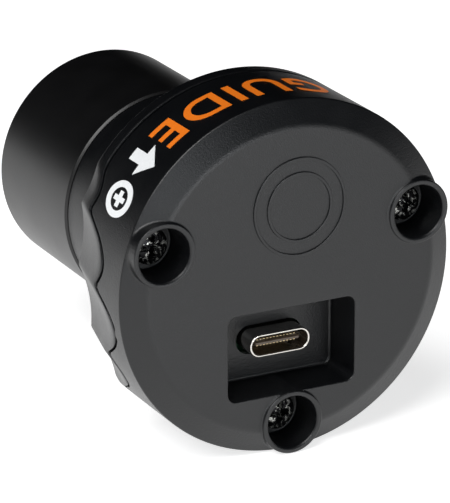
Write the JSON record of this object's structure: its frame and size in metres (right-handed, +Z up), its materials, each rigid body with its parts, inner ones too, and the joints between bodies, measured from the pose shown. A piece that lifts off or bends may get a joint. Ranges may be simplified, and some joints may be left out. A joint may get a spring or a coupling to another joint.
{
  "type": "guide camera",
  "caption": "Round planetary and guide camera with a slip-in nosepiece that unscrews, finger flutes on both sides, a recessed USB-C socket and deep case screws at the rear.",
  "frame": {"origin": "on the optical axis, in the plane of the body's front shoulder", "axes": "+Y along the optical axis from the rear face to the nosepiece's tip, +Z up with the USB-C socket below the axis, +X to the right seen from the rear"},
  "size_m": [0.0486, 0.0584, 0.0486],
  "materials": {
    "shell_plastic": "fine moulded texture, satin",
    "black_aluminium": "black anodised, satin",
    "black_steel": "black zinc plated, glossy",
    "bright_steel": "plain, bright",
    "brass": "turned",
    "board_green": "solder mask",
    "chip_black": "moulded epoxy",
    "sensor_ceramic": "ceramic",
    "sensor_silicon": "polished",
    "filter_glass": "coated, clear",
    "rubber": "matte",
    "gold_contacts": "gold plated"
  },
  "bodies": {
    "camera_body": {"rear_shell": "shell_plastic", "front_shell": "shell_plastic", "thread_ring": "brass", "case_screw_1": "black_steel", "case_screw_2": "black_steel", "case_screw_3": "black_steel", "board_screw_1": "bright_steel", "board_screw_2": "bright_steel", "board_screw_3": "bright_steel", "board_screw_4": "bright_steel", "sensor_screw_1": "bright_steel", "sensor_screw_2": "bright_steel", "sensor_screw_3": "bright_steel", "window_gasket": "rubber", "window": "filter_glass", "window_retainer": "black_aluminium", "sensor_package": "sensor_ceramic", "sensor_die": "sensor_silicon", "sensor_glass": "filter_glass", "sensor_mask": "rubber", "sensor_board": "board_green", "main_board": "board_green", "controller_chip": "chip_black", "memory_chip": "chip_black", "flash_chip": "chip_black", "regulator_chip": "chip_black", "crystal_can": "bright_steel", "power_inductor": "chip_black", "link_socket": "chip_black", "link_plug": "chip_black", "usb_shell": "bright_steel", "usb_tongue": "chip_black", "usb_contacts_upper": "gold_contacts", "usb_contacts_lower": "gold_contacts"},
    "spacer": {"spacer_ring": "black_aluminium"},
    "nosepiece": {"nosepiece": "black_aluminium"}
  },
  "joints": [
    {"name": "nosepiece_travel", "type": "slide", "parent": "camera_body", "child": "spacer", "axis": [0, 1, 0], "range_m": [0, 0.004]},
    {"name": "nosepiece_turn", "type": "hinge", "parent": "spacer", "child": "nosepiece", "pos_m": [0, 0, 0], "axis": [0, 1, 0], "range_deg": [0, 1800]}
  ],
  "couplings": [
    {"joint": "nosepiece_travel", "follows": "nosepiece_turn", "m_per_rad": 0.00012633}
  ]
}
